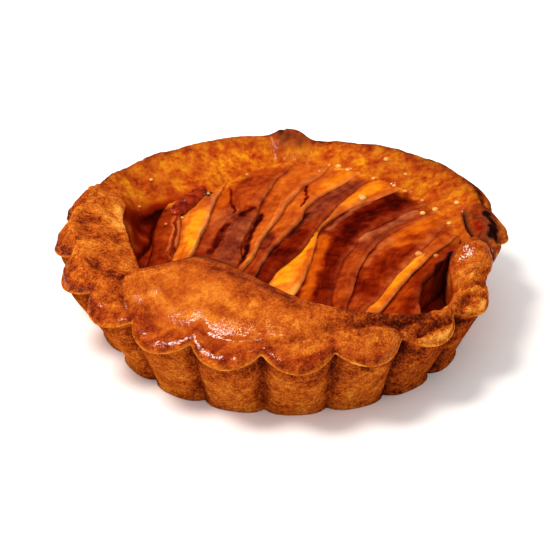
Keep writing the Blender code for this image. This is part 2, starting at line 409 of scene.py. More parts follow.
# %% [markdown]
# ## Relief of the dough
#
# Hand-pressed dough swells, wrinkles and cracks as it bakes. The relief below is added to the section: broad
# swelling, finer lumps that are strongest on the thick left side, radial wrinkles, the creases where the flap
# starts and ends, and the torn thin edge at the right.

# %% Relief


def share_of(name_low, name_high, place):
    """How far a place lies between two named stations, as a soft ramp."""
    return ramp(PLACE[name_low], PLACE[name_high], place)


# The line on the plan in mm, half its width, its depth (or height, if negative) in mm and how dark it is
# painted: the darkness is painted shade in the crease, and from 0.8 up it is also char.
CREASES = (
    (((-33.9, -38.5), (-34.3, -33.5), (-37.0, -28.8), (-34.5, -21.5)), 0.7, 0.8, 0.35),
    (((-43.5, -19.0), (-39.5, -22.0), (-36.5, -26.0)), 1.3, 0.9, 0.40),
    (((25.6, -45.5), (30.9, -41.2), (38.0, -34.8), (40.6, -28.5)), 0.8, 1.3, 0.50),
    (((-22.0, -41.0), (-15.0, -45.4), (-6.0, -47.4), (4.0, -47.8)), 0.45, 0.35, 0.25),
    (((9.0, -45), (15.3, -44.4), (20.0, -43.2), (26.2, -41.4), (29.7, -38.5), (32.4, -37.2)), 0.9, 1.1, 0.5),
    (((-50.5, -10.5), (-46.0, -8.0), (-43.0, -7.5)), 0.7, 0.7, 0.2),
    (((43.4, 8.6), (43.6, 3.0), (44.6, -2.5)), 0.40, 1.6, 1.0),
    (((37.0, -14.0), (39.5, -9.5), (43.0, -5.8), (46.0, -6.2), (48.5, -11.0), (49.5, -15.0)), 0.55, 1.1, 0.8),
    (((38.5, -25.8), (42.0, -24.5), (46.5, -22.0), (50.0, -19.5)), 0.6, 0.9, 0.35),
    (((40.0, -28.0), (45.5, -26.0), (49.5, -23.0)), 0.5, 0.6, 0.3),
    (((41.5, -19.5), (46.0, -18.6), (49.0, -16.5)), 0.7, 1.2, 0.5),
    (((42.0, -10.6), (44.5, -11.0)), 2.6, -2.3, 0.0),
)


def relief(bearing, place, x, y, z):
    """How far the baked surface stands out from the smooth section, in millimetres."""
    top = share_of("lip_under", "slope_1", place) * (1.0 - share_of("brow_low", "under", place))
    wall = share_of("foot_low", "foot", place) * (1.0 - share_of("wall_top", "lip_under", place))
    left = bump(bearing, THICK_LEFT, 36.0)
    torn = bump(bearing, TORN_EDGE, 17.0) * share_of("slope_1", "slope_4", place)
    torn *= 1.0 - 0.85 * near(x, y, ((41.5, -13.5), (45.5, -12.5)), 3.2)
    folded = flap(bearing) * share_of("slope_1", "slope_3", place)
    calm = 1.0 - 0.65 * folded
    height = top * calm * (0.35 + 0.55 * left) * rough(x, y, z, 8.0)
    height += top * calm * (0.22 + 0.55 * left + 0.95 * torn) * rough(x, y, z, 3.4, 5.0)
    height += (top * calm + 0.4 * wall) * (0.14 + 0.20 * left + 0.40 * torn) * rough(x, y, z, 1.5, 7.0)
    height += wall * 0.35 * rough(x, y, z, 9.0, 3.0)
    height += (top + wall) * 0.04 * rough(x, y, z, 0.8, 9.0)
    if 0.0 < top:
        wave = math.sin(math.radians(bearing * 56.0) + 2.4 * rough(x, y, z, 7.0, 11.0))
        across = share_of("lip_top", "slope_2", place) * (1.0 - share_of("slope_6", "brow", place))
        height -= 0.9 * bump(bearing, -101.0, 12.0) * (1.0 - abs(wave)) ** 2 * across
        height -= top * sum(depth * near(x, y, path, width) for path, width, depth, _ in CREASES)
        pleat = rough(bearing * 0.05, place * 4.0, 0.0, 1.0, 17.0)
        height += 0.30 * pleat * flap(bearing) * share_of("slope_6", "crest", place)
    return height


def shell_point(bearing, place, section=None):
    """The place of a point of the shell in millimetres."""
    radius, z = through(section or shell_section(bearing), place)
    x, y = on_plan(bearing, radius)
    extra = relief(bearing, place, x, y, z)
    upward = share_of("lip_edge", "slope_3", place) * (1.0 - share_of("brow", "under", place))
    outward = 1.0 - upward if place < PLACE["crest"] else upward - 1.0
    if place > PLACE["inside"]:
        outward = 0.0
    x, y = on_plan(bearing, max(0.0, radius + extra * outward))
    return x, y, max(0.0, z + extra * upward)


PAINTS = ("brown", "gloss", "gold", "char", "soak", "smooth")


def held(value):
    return min(1.0, max(0.0, value))


def shell_paint(bearing, place, x, y, z):
    """Where the crust is browned, glazed, golden, burnt, soaked with juice and smooth, each from 0 to 1; the
    brown also holds painted shade in coves, creases and hollows and painted light on raised lumps.
    """
    wall = 1.0 - share_of("wall_top", "lip_under", place)
    inner = share_of("slope_6", "brow", place)
    inside = share_of("brow", "brow_low", place)
    folded = flap(bearing)
    slope = open_slope(bearing)
    left = bump(bearing, THICK_LEFT, 30.0)
    blotch = rough(x, y, z, 7.0, 21.0)
    fine = rough(x, y, z, 2.2, 23.0)
    dark = char = 0.0
    on_top = share_of("lip_under", "lip_top", place)
    # Along each crease the crust is painted darker: painted shade in the hollow of the crease. The slit and
    # the crack round the tongue, darkness 0.8 and more, are also painted as char.
    if 0.0 < on_top and place < PLACE["brow_low"]:
        for path, width, _, darkness in CREASES:
            share = near(x, y, path, 1.3 * width)
            dark += min(1.0, darkness) * share
            char += share * (darkness >= 0.8) * darkness
    torn = bump(bearing, TORN_EDGE, 20.0)
    hollow = rough(x, y, z, 3.4, 5.0) + 0.6 * rough(x, y, z, 1.5, 7.0)
    brown = 0.50 + 0.14 * blotch + 0.10 * fine + 0.6 * dark
    # On the thick left and the torn right, raised lumps are painted lighter and the hollows between them
    # darker: painted light and shade on the relief.
    brown -= (0.30 * (left + torn) * hollow + 0.05 * torn) * (1.0 - wall)
    # The wall is painted darker in the coves between the flutes and towards its top under the lip: painted
    # shade.
    brown += wall * (0.35 * (1.0 - panel(bearing)) ** 1.5 + 0.14 * ramp(9.0, 17.0, z) - 0.08)
    brown += wall * 0.22 * bump(bearing, 50.0, 24.0)
    streak = rough(bearing * 0.10, place * 3.0, 0.0, 1.0, 31.0)
    brown += folded * share_of("slope_2", "slope_4", place) * (0.16 * streak - 0.06)
    ridge = folded * share_of("slope_6", "crest", place) * (1.0 - 0.5 * inside)
    char += 0.30 * ridge * ramp(-0.3, 0.4, rough(bearing * 0.07, place * 5.0, 0.0, 1.0, 67.0))
    brown += ridge * (0.38 + 0.35 * rough(bearing * 0.05, place * 4.0, 0.0, 1.0, 17.0))
    on_lip = share_of("lip_edge", "slope_1", place) * (1.0 - share_of("slope_1", "slope_3", place))
    brown += (0.20 - 0.60 * bump(bearing, 45.0, 22.0) + 0.26 * fine) * on_lip
    brown += 0.30 * on_top * near(x, y, ((46.5, 5.0), (47.5, -4.0)), 3.0)
    # A darker band along the valley under the right end of the flap: painted shade.
    brown += 0.24 * on_top * near(x, y, ((14.0, -41.5), (24.0, -39.0), (31.0, -35.5)), 2.6)
    brown += 0.14 * bump(bearing, 128.0, 24.0) * share_of("slope_4", "slope_6", place) * (1.0 - wall)
    brown += 0.02 * left * share_of("slope_1", "slope_3", place) * (1.0 - inner)
    brown -= 0.35 * near(x, y, ((-41.0, 12.0), (-39.5, 6.0), (-39.0, 1.0)), 2.6)
    pale_edge = math.exp(-((place - PLACE["lip_edge"] + 0.1) / 0.5) ** 2)
    brown -= (0.36 + 0.4 * fine) * pale_edge
    brown += 0.40 * (1.0 - folded) * share_of("slope_3", "slope_6", place) * (1.0 - 0.8 * inner) * slope
    deep = share_of("brow_low", "under", place)
    gold = slope * inner * (0.85 + 0.5 * blotch) * (1.0 - deep)
    gold *= 1.0 - near(x, y, ((45.5, 8.0), (46.0, 0.0), (45.5, -4.0)), 2.2)
    gold *= 1.0 - 0.3 * bump(bearing, 132.0, 26.0)
    on_back_lump = ramp(0.1, 0.8, bump(bearing, BACK_LUMP, 6.0))
    on_back_lump *= 1.0 - share_of("crest", "brow_low", place)
    gold *= 1.0 - 0.8 * on_back_lump
    wet_patch = rough(x, y, z, 5.0, 27.0)
    brushed = share_of("lip_top", "slope_1", place) * (1.0 - share_of("slope_1", "slope_3", place))
    gloss = brushed * (1.0 - 0.85 * left) * (1.0 - ramp(20.0, 42.0, turned(bearing)))
    island = ramp(-0.05, 0.35, wet_patch + 0.5 * bump(bearing, -14.0, 11.0))
    on_flap = share_of("slope_1", "slope_3", place) * (1.0 - share_of("slope_3", "slope_5", place))
    gloss += folded * on_flap * island
    gloss += slope * inner * ramp(-0.2, 0.4, wet_patch) * (1.0 - bump(bearing, BACK_LUMP, 9.0)) * 0.8
    gloss += on_top * near(x, y, ((41.0, -14.0), (46.0, -12.5)), 3.0)
    char += 0.50 * on_back_lump * share_of("slope_3", "slope_5", place) * (0.85 + 1.2 * fine + hollow)
    char += on_top * near(x, y, ((48.4, 5.0), (49.5, 0.0), (48.6, -5.5)), 1.6) * (1.1 + 0.9 * fine)
    drip = rough(bearing * 0.22, 0.25 * z, 0.0, 1.0, 37.0)
    soak = share_of("crest", "brow_low", place) * (1.0 - ramp(19.2, 21.2, z + 0.8 * drip))
    soak *= (0.75 + 0.5 * drip) * (1.0 - 0.35 * bump(bearing, 66.0, 20.0))
    low_edge = inside * (0.2 + 0.7 * bump(bearing, -122.0, 16.0) * (1.0 - ramp(15.5, 18.0, z + drip)))
    soak = mix(soak, max(low_edge, deep * (0.8 + 0.4 * drip)), slope)
    broken = ramp(-0.25, 0.35, fine + 0.6 * hollow)
    soak += 0.9 * on_top * broken * near(x, y, ((45.8, 6.0), (46.8, -4.5)), 1.9)
    return {"brown": brown, "gloss": held(gloss), "gold": held(gold), "char": held(char),
            "soak": held(soak), "smooth": held(0.75 * folded * (1.0 - on_lip) * (1.0 - wall) + slope * inner)}


# %% Wrap a fine sheet into the shell
BEARING_STEPS = 720


def stations(counts):
    """The places of all rings, when counts says how many steps lead from each station to the next."""
    places = [0.0]
    for index, count in enumerate(counts):
        places += [index + (step + 1.0) / count for step in range(count)]
    return places


ring_places = stations(RINGS_TO_NEXT)


def wrap(name, across, along, shape):
    """A fine sheet whose points are moved one by one; shape(column, row) gives the place and the paint."""
    fresh()
    bpy.ops.mesh.primitive_grid_add(x_subdivisions=across, y_subdivisions=along, size=1.0)
    piece = bpy.context.object
    piece.name = piece.data.name = name
    painted = []
    for vertex in piece.data.vertices:
        column = round((vertex.co.x + 0.5) * across) % across
        row = round((vertex.co.y + 0.5) * along)
        point, paint = shape(column, row)
        vertex.co = Vector(point) * MM
        painted.append(paint)
    for layer in painted[0]:
        attribute = piece.data.attributes.new(layer, "FLOAT", "POINT")
        attribute.data.foreach_set("value", [paint[layer] for paint in painted])
    bpy.ops.object.mode_set(mode="EDIT")
    bpy.ops.mesh.select_all(action="SELECT")
    bpy.ops.mesh.remove_doubles(threshold=0.01 * MM)
    bpy.ops.mesh.normals_make_consistent(inside=False)
    bpy.ops.object.mode_set(mode="OBJECT")
    bpy.ops.object.shade_smooth()
    print(piece.name, len(piece.data.vertices), "points", len(piece.data.polygons), "faces")
    return piece


sections = [shell_section(column * 360.0 / BEARING_STEPS) for column in range(BEARING_STEPS)]


def shell_shape(column, row):
    bearing, place = turned(column * 360.0 / BEARING_STEPS), ring_places[row]
    point = shell_point(bearing, place, sections[column])
    return point, shell_paint(bearing, place, *point)


shell = wrap("pastry_shell", BEARING_STEPS, len(ring_places) - 1, shell_shape)
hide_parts("crust")
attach(shell, "root")

# %% [markdown]
# ## Shortcrust
#
# Butter-rich dough bakes to a matt, sandy surface in golden brown, with darker specks of browned sugar. The
# lips and the flap were brushed with glaze, which dries to a thin uneven coat.

# %% Shortcrust material


def surface(name, layers):
    """A new material, its node tree, its shader, its painted layers and the piece's own coordinates."""
    made = bpy.data.materials.new(name)
    made.use_nodes = True
    tree = made.node_tree
    painted = {layer: add(tree, "Attribute", out=2, attribute_name=layer) for layer in layers}
    return made, tree, tree.nodes["Principled BSDF"], painted, add(tree, "TexCoord", out=3)


def golden(tree, patches, crumbs):
    """The mottled gold where soft dough, fruit and juice baked together."""
    mottle = add(tree, "Mix", {0: 0.35, 2: patches, 3: crumbs}, data_type="FLOAT")
    return add(tree, "ValToRGB", {"Fac": mottle}, stops=[
        (0.36, "#d88c12"), (0.66, "#8a280a"), (0.44, "#ca6e12"), (0.52, "#b85210"), (0.59, "#a83e0c")])


# Sugar grains are about a quarter of a millimetre wide, too fine for the picture, so they are drawn coarser.
SPECK = 0.30 * MM
SAND = 0.45 * MM
CRUMB = 1.1 * MM
PATCH = 3.5 * MM
crust_look, tree, shader, paint, place = surface("shortcrust, baked and glazed", PAINTS)
specks, sand, crumbs, patches = (
    add(tree, "TexNoise", {"Vector": place, "Scale": 1.0 / size, "Detail": detail})
    for size, detail in ((SPECK, 1.0), (SAND, 2.0), (CRUMB, 2.0), (PATCH, 3.0))
)
sandy, crumbly, patchy = (
    add(tree, "MapRange", {"Value": grain, 1: 0.3, 2: 0.7, 3: -swing, 4: swing})
    for grain, swing in ((sand, 0.17), (crumbs, 0.14), (patches, 0.12))
)
coarse = add(tree, "MapRange", {"Value": paint["smooth"], 3: 1.0, 4: 0.35})
grainy = add(tree, "Math", {0: sandy, 1: crumbly}, operation="ADD")
# The painted brown layer also carries painted shade in the coves, creases and hollows and painted light on
# raised lumps, so the crumb colour below shows them.
baked = add(tree, "Math", {0: grainy, 1: coarse, 2: paint["brown"]}, operation="MULTIPLY_ADD")
baked = add(tree, "Math", {0: baked, 1: patchy}, operation="ADD")
crumb_colour = add(tree, "ValToRGB", {"Fac": baked}, stops=[
    (0.0, "#e49a42"), (1.0, "#320c06"), (0.22, "#cc7624"), (0.45, "#b05216"), (0.68, "#84320e"),
    (0.84, "#5a1c0a")])
speck_mask = add(tree, "MapRange", {"Value": specks, 1: 0.56, 2: 0.68, 3: 0.0, 4: 0.6})
speck_mask = add(tree, "Math", {0: speck_mask, 1: coarse}, operation="MULTIPLY")
glazed = add(tree, "Math", {0: paint["gloss"], 1: 0.32}, operation="MULTIPLY")
gold_colour = golden(tree, patches, crumbs)
juice_stain = add(tree, "ValToRGB", {"Fac": paint["soak"]}, stops=[
    (0.3, "#a83606"), (1.0, "#5c0a02"), (0.65, "#861c04")])
soaked = add(tree, "Math", {0: paint["soak"], 1: 1.4}, operation="MULTIPLY", use_clamp=True)
burnt_colour = add(tree, "ValToRGB", {"Fac": paint["char"]}, stops=[(0.4, "#7c381c"), (0.95, "#1c0604")])
burnt = add(tree, "Math", {0: paint["char"], 1: 1.4}, operation="MULTIPLY", use_clamp=True)
for share, layer in (
    (speck_mask, colour("#561a02")), (glazed, colour("#9a2e0e")), (paint["gold"], gold_colour),
    (soaked, juice_stain), (burnt, burnt_colour),
):
    crumb_colour = add(tree, "Mix", {0: share, 6: crumb_colour, 7: layer}, out=2, data_type="RGBA")
tree.links.new(crumb_colour, shader.inputs["Base Color"])
wet = add(tree, "Math", {0: paint["gloss"], 1: paint["soak"]}, operation="ADD", use_clamp=True)
dry_roughness = add(tree, "MapRange", {"Value": wet, 3: 0.8, 4: 0.45})
tree.links.new(dry_roughness, shader.inputs["Roughness"])
worn = add(tree, "MapRange", {"Value": sand, 1: 0.46, 2: 0.54, 3: 1.0, 4: 0.2})
coated = add(tree, "Math", {0: wet, 1: worn}, operation="MULTIPLY")
tree.links.new(coated, shader.inputs["Coat Weight"])
shader.inputs["Coat Roughness"].default_value = 0.05
shader.inputs["Coat IOR"].default_value = 1.45
shader.inputs["Specular IOR Level"].default_value = 0.0
grains = add(tree, "Math", {0: sand, 1: specks}, operation="ADD")
rubbed = add(tree, "Bump", {"Height": crumbs, "Distance": 0.35 * MM, "Strength": 0.7})
bumpy = add(tree, "Bump", {"Height": grains, "Distance": 0.12 * MM, "Strength": 0.9, "Normal": rubbed})
tree.links.new(bumpy, shader.inputs["Normal"])
swollen = add(tree, "Bump", {"Height": crumbs, "Distance": 0.16 * MM, "Strength": 0.6})
ripples = add(tree, "Bump", {"Height": grains, "Distance": 0.035 * MM, "Strength": 0.6, "Normal": swollen})
tree.links.new(ripples, shader.inputs["Coat Normal"])
shell.data.materials.append(crust_look)

# %% [markdown]
# ## The fanned peach
#
# The half peach was cut into slices and pressed sideways, so each slice leans over the next one. Its right
# edge is thin, free and a little raised; its left side is tucked under its neighbour. The slices bend to the
# right towards the back, more so the further right they lie.

# %% The lines along which the slices lie
# For each slice: where its upper edge bends, x and y in mm, and its sideways run before and after the bend.
SLICE_EDGES = (
    (-24.4, 20.0, 0.02, 0.50), (-20.0, 10.0, 0.13, 0.24), (-5.1, 23.4, 0.16, 0.52), (3.0, 24.3, 0.32, 0.75),
    (9.3, 22.8, 0.35, 1.20), (18.5, 25.6, 0.42, 1.40), (14.6, 14.2, 0.15, 2.10), (18.3, 1.2, 0.13, 1.36),
    (25.2, 2.5, 0.15, 1.95), (28.5, -12.0, 0.60, 0.60), (28.3, -17.7, 0.60, 0.70), (32.4, -19.4, 0.00, 0.75),
)
FIRST_SLICE_WIDTH = 6.0
SLICE_BEND = 8.0
GAP = 0.35
FILLING_TOP = 9.6


def edge_across(edge, along):
    """The sideways place of a slice's upper edge at the distance `along` from front to back."""
    bend_x, bend_y, lean, sweep = edge
    past = along - bend_y
    swept = 0.5 * (past + math.hypot(past, SLICE_BEND) - SLICE_BEND)
    return bend_x + lean * past + (sweep - lean) * swept


def has_room(x, y):
    """Inside the shell, with the far ends tucked a little into the soft slope of the rim."""
    bearing = bearing_of(x, y)
    return math.hypot(x, y) < brow(bearing)[0] - WALL_BATTER + 0.5 * open_slope(bearing)


def edge_span(edge):
    """The stretch of an edge, from front to back, that lies inside the shell."""
    places = [0.25 * step for step in range(-180, 181)]
    inside = [y for y in places if has_room(edge_across(edge, y), y)]
    return inside[0], inside[-1]


edges = [(SLICE_EDGES[0][0] - FIRST_SLICE_WIDTH,) + SLICE_EDGES[0][1:]] + list(SLICE_EDGES)
spans = [edge_span(edge) for edge in edges]
print("slice edges run, in mm:", [(round(low), round(high)) for low, high in spans])

# %% One slice
# How far the free edge of each slice stands above the next one, in mm.
STEPS = (1.3, 1.0, 1.1, 0.9, 0.9, 0.9, 0.9, 0.5, 0.4, 0.6, 0.6, 1.3)
COLUMNS_TO_NEXT = (4, 10, 12, 12, 10, 7, 5, 5, 4, 3, 2, 3, 2, 2)
SLICE_ALONG = 130
column_places = stations(COLUMNS_TO_NEXT)


def fruit_top(x, y):
    """The height of the fruit, a gentle plane with the swellings of soft baked flesh."""
    return fruit_height(x, y) + 0.50 * rough(x, y, 0.0, 8.0, 2.0) + 0.14 * rough(x, y, 0.0, 2.4, 6.0)


def slice_line(number, v):
    """Both ends of a slice's section at the share v of its length, and the section itself.

    The section holds how far across each point lies, how much of the slice's height it has, and what is
    added to that, in millimetres."""
    low, high = spans[number - 1], spans[number]
    left_y, right_y = mix(*low, v), mix(*high, v)
    left = (edge_across(edges[number - 1], left_y), left_y)
    right = (edge_across(edges[number], right_y), right_y)
    width = math.dist(left, right)
    rounding = (1.0 - (2.0 * v - 1.0) ** 6) ** 0.5 if v < 0.5 else 1.0
    full = mix(0.75, 1.0, rounding)
    step = STEPS[number - 1] * mix(0.4, 1.0, rounding) * (1.0 - 0.75 * ramp(0.65, 0.95, v))
    step *= 1.0 + 0.45 * rough(6.0 * v, 3.0 * number, 0.0, 1.0, 71.0)
    size = min(1.0, width / 3.0)
    melted = 0.8 * size if number in (8, 9, 10) else 0.0
    tuck = 0.8 if number > 1 else 0.0
    return left, right, width, [
        (-tuck, full, -0.95 * step - 0.25),
        (0.04 * width, full, -0.66 * step),
        (0.22 * width, full, -0.34 * step),
        (0.45 * width, full, 0.02 * step),
        (0.66 * width, full, 0.24 * step),
        (0.84 * width - 0.5 * melted, full, 0.30 * step),
        (width - 0.35 * size - melted, full, 0.20 * step),
        (width + 0.05 * size, full, -0.15 * step - 0.10),
        (width + 0.10 * size, full, -0.60 * step - 0.30),
        (width - 0.40 * size, full, -1.3 * step - 0.80),
        (width - 0.80 * size, 0.35, 0.0),
        (width - 0.80 * size, 0.0, 0.0),
        (0.4 * size, 0.0, 0.0),
        (-0.3 * tuck, 0.5, 0.0),
        (-tuck, full, -0.95 * step - 0.25),
    ]


# %% [markdown]
# ## Marks of the oven, and painted light and shade
#
# Where the fruit stood up it browned almost to black, where juice ran over it stayed yellow, and strips of
# skin and shrunken edges left lines. These marks can't be had from noise, because each has its own place, so
# each is a line on the plan that tints and lifts the flesh round it. Noise makes its outline ragged. Some
# marks paint light instead: dark strips of shadow under an overhanging edge, pale highlight lines on raised
# edges, and the pale sheen of wet flesh mixed into skin colour.

# %% Marks of the oven on the fruit, and painted light and shade
# The slice, the line on the plan in mm, half its width, the tone it leaves from 0 for pale yellow to 1 for
# almost black, its share of skin colour (on some marks it also paints the pale sheen of wet flesh), its
# strength, and how far it lifts the surface in mm.
MARKS = (
    (1, ((-25.4, 13.5), (-25.3, 7.0), (-26.0, -1.0)), 0.35, 0.30, 0.50, 0.7, 0.25),
    (1, ((-27.2, 16.0), (-26.9, 9.0), (-27.6, 0.0)), 0.35, 0.35, 0.50, 0.7, 0.25),
    (1, ((-26.3, 15.0), (-26.1, 8.0), (-26.8, -2.0)), 0.35, 0.80, 0.0, 0.7, -0.25),
    (2, ((-20.7, 17.5), (-22.2, 10.0), (-23.2, 1.0)), 1.6, 0.04, 0.0, 0.8, 0.0),
    (2, ((-18.8, 28.0), (-17.8, 21.0)), 1.6, 0.38, 0.45, 0.8, 0.0),
    # A pale line along the raised right edge of slice 2: painted highlight.
    (2, ((-17.4, 22.0), (-18.9, 14.2), (-20.8, 7.0)), 0.45, 0.20, 0.30, 0.7, 0.0),
    (2, ((-24.2, 3.0), (-24.4, -4.0)), 0.8, 0.42, 0.0, 0.6, 0.0),
    (3, ((-14.6, 33.0), (-15.6, 22.0), (-17.0, 14.0)), 1.6, 0.36, 0.0, 0.8, 0.0),
    (3, ((-13.5, 17.0), (-16.0, 12.5)), 2.6, 0.42, 0.60, 0.7, 0.2),
    (3, ((-17.3, 8.0), (-19.2, 0.5)), 1.8, 0.58, 0.30, 0.8, 0.0),
    # Purple-grey skin on the front right part of slice 3, with the pale sheen of its wet surface mixed in:
    # partly painted reflection.
    (3, ((-10.6, 14.0), (-12.3, 4.0), (-14.5, -6.0)), 2.2, 0.66, 0.75, 0.9, 0.1),
    (3, ((-14.2, 11.0), (-15.5, 6.0), (-17.4, -1.0)), 0.8, 0.90, 0.20, 0.9, -0.4),
    (3, ((-13.7, 34.5), (-13.4, 26.0), (-12.4, 17.0)), 0.28, 0.85, 0.0, 0.9, -0.2),
    (3, ((-13.7, 35.0), (-12.5, 38.0), (-9.2, 40.8), (-6.5, 42.0)), 0.7, 0.78, 0.1, 0.7, -0.1),
    (3, ((-10.2, 15.2), (-7.9, 18.6)), 0.7, 0.88, 0.0, 0.9, -0.2),
    # A black strip on the left of slice 4, where the edge of slice 3 overhangs it: painted shadow.
    (4, ((-5.7, 16.0), (-7.9, 8.5), (-9.8, -6.0)), 0.65, 0.96, 0.2, 1.0, -0.3),
    # A pale line along the raised right edge of slice 4: painted highlight.
    (4, ((2.4, 25.5), (-0.6, 18.8), (-3.6, 9.0), (-8.8, -9.0)), 0.35, 0.25, 0.40, 0.7, 0.1),
    (5, ((10.5, 25.5), (14.5, 30.5), (18.0, 34.5)), 2.8, 0.24, 0.0, 0.9, 0.0),
    (5, ((6.0, 29.0), (5.5, 23.0), (4.2, 17.7)), 0.28, 0.88, 0.0, 0.9, -0.2),
    (5, ((-3.2, 6.5), (-4.6, -1.0)), 1.0, 0.82, 0.5, 0.8, -0.1),
    (5, ((-2.2, -1.8), (-4.8, -8.7)), 1.2, 0.55, 0.65, 0.8, 0.0),
    # A purple-brown band of skin on slice 6, with a grey-purple sheen mixed in: partly painted reflection.
    (6, ((16.5, 27.5), (13.0, 23.0), (8.3, 17.5), (5.8, 12.5)), 2.2, 0.66, 0.75, 0.9, 0.0),
    (6, ((18.0, 31.0), (21.0, 33.5)), 2.4, 0.40, 0.1, 0.9, 0.0),
    (6, ((3.8, 5.5), (-0.3, -4.4), (-4.5, -13.5)), 1.8, 0.78, 0.0, 0.9, 0.0),
    # A dark strip on the left of slice 6, where the edge of slice 5 overhangs it: painted shadow.
    (6, ((5.5, 15.0), (3.4, 9.5), (1.4, 4.0)), 0.8, 0.94, 0.3, 0.9, -0.3),
    (7, ((14.5, 19.5), (20.0, 24.0), (26.0, 28.0)), 2.2, 0.18, 0.0, 0.9, 0.0),
    (7, ((13.2, 17.5), (10.0, 11.0), (8.0, 7.5)), 0.9, 0.28, 0.35, 0.7, 0.0),
    (7, ((6.4, 4.0), (3.0, -6.0), (-0.5, -15.0)), 1.9, 0.05, 0.0, 0.9, 0.1),
    (7, ((7.6, -0.5), (5.4, -8.0), (3.2, -17.0)), 0.8, 0.34, 0.0, 0.7, 0.0),
    (7, ((7.9, 5.7), (5.9, 2.2)), 0.25, 0.80, 0.0, 0.8, -0.2),
    (8, ((9.4, 3.0), (8.0, -6.0), (6.8, -14.0), (5.2, -22.0)), 1.5, 0.36, 0.0, 0.9, 0.1),
    (8, ((31.0, 19.8), (23.0, 14.3), (18.0, 9.5), (14.0, 1.5)), 2.5, 0.90, 0.0, 0.9, -0.5),
    (8, ((13.0, -1.0), (11.0, -8.0), (9.6, -16.0), (8.6, -22.0)), 1.8, 0.80, 0.0, 0.9, -0.3),
    (8, ((20.8, 18.4), (16.6, 15.0), (13.0, 10.4), (10.6, 6.6)), 0.7, 0.42, 0.95, 0.8, 0.2),
    (9, ((32.0, 12.0), (25.0, 5.4), (18.6, 0.8)), 1.0, 0.48, 0.90, 0.9, 0.5),
    (9, ((24.0, 1.5), (18.5, -2.5)), 1.4, 0.68, 0.60, 0.7, -0.1),
    (9, ((20.0, -5.0), (17.0, -10.0), (14.5, -18.0), (13.5, -23.0)), 2.0, 0.50, 0.15, 0.8, 0.2),
    (10, ((36.0, 8.0), (31.0, 4.0), (27.5, 0.5)), 2.8, 0.34, 0.0, 0.8, 0.0),
    (10, ((25.8, 1.0), (22.0, -4.0), (19.2, -10.0)), 0.7, 0.42, 0.50, 0.7, 0.0),
    (10, ((29.0, -4.5), (24.7, -9.5), (21.0, -15.0), (18.5, -21.0)), 2.0, 0.70, 0.0, 0.9, -0.2),
    (10, ((32.5, 0.5), (28.0, 0.0)), 0.9, 0.62, 0.0, 0.7, 0.0),
    (11, ((31.0, -10.5), (26.5, -16.5), (22.0, -23.5), (20.0, -27.0)), 1.6, 0.16, 0.0, 0.9, 0.1),
    (11, ((32.5, -8.5), (27.6, -14.2), (24.4, -18.0)), 0.35, 0.08, 0.2, 0.7, 0.2),
    (12, ((34.0, -12.0), (28.0, -21.0), (24.0, -29.0)), 2.2, 0.60, 0.0, 0.8, 0.0),
    (12, ((40.0, -8.5), (35.8, -14.0), (32.6, -20.5), (31.3, -28.0)), 0.9, 0.92, 0.7, 0.95, 0.1),
)
# How caramelised each slice is at its near and at its far end.
TONES = (
    (0.68, 0.62), (0.22, 0.32), (0.64, 0.56), (0.42, 0.39), (0.58, 0.37), (0.76, 0.60),
    (0.22, 0.44), (0.80, 0.68), (0.66, 0.60), (0.62, 0.55), (0.34, 0.46), (0.68, 0.64),
)
FRUIT_PAINTS = ("tone", "skin", "wet", "gold", "across", "along")


def fruit_paint(number, s, v, x, y, z):
    """Tone, skin colour and wetness of a place on the fruit, and how far the marks lift it. Tone and skin
    also carry painted shade, painted highlight and painted sheen, each noted where it is made.
    """
    near_tone, far_tone = TONES[number - 1]
    tone = mix(near_tone, far_tone, ramp(0.25, 0.75, v))
    # Darker along the left side, where the slice lies under its neighbour: painted shade, together with the
    # juice that gathers between slices. A little paler at the free right edge: painted highlight on the thin
    # raised edge.
    tone += 0.18 * (1.0 - ramp(0.0, 0.22, s)) - 0.06 * ramp(0.80, 0.95, s)
    skin, lift = 0.12, 0.0
    run_x = x + 0.9 * rough(x, y, 0.0, 3.5, 51.0) + 0.35 * rough(x, y, 0.0, 1.1, 53.0)
    run_y = y + 0.9 * rough(x, y, 0.0, 3.5, 55.0)
    for owner, path, width, mark_tone, mark_skin, strength, raised in MARKS:
        if owner == number:
            share = near(run_x, run_y, path, 1.2 * width)
            lift += raised * share
            share = strength * ramp(0.0, 0.85, share)
            tone, skin = mix(tone, mark_tone, share), mix(skin, mark_skin, share)
    tone += 0.12 * rough(x, y, z, 5.0, 41.0) + 0.07 * rough(x, y, z, 1.6, 43.0)
    bearing = bearing_of(x, y)
    foot = slope_foot(bearing)[0]
    ragged = 1.6 * rough(x, y, 0.0, 3.0, 45.0)
    soft_end = open_slope(bearing) * ramp(foot - 4.5, foot - 0.5, math.hypot(x, y) + ragged)
    # From 1.2 mm below the fruit's top, fully by 3.2 mm, the slices' sides are painted towards dark red:
    # painted shade.
    tone = mix(tone, 0.60, ramp(1.2, 3.2, fruit_height(x, y) - z))
    # More skin colour at the free right edge, paler and duller: the same painted highlight.
    skin = held(skin + 0.25 * ramp(0.80, 0.95, s))
    return {"tone": tone, "skin": skin, "wet": 0.6 + 0.35 * rough(x, y, z, 2.0, 47.0), "gold": soft_end}, lift


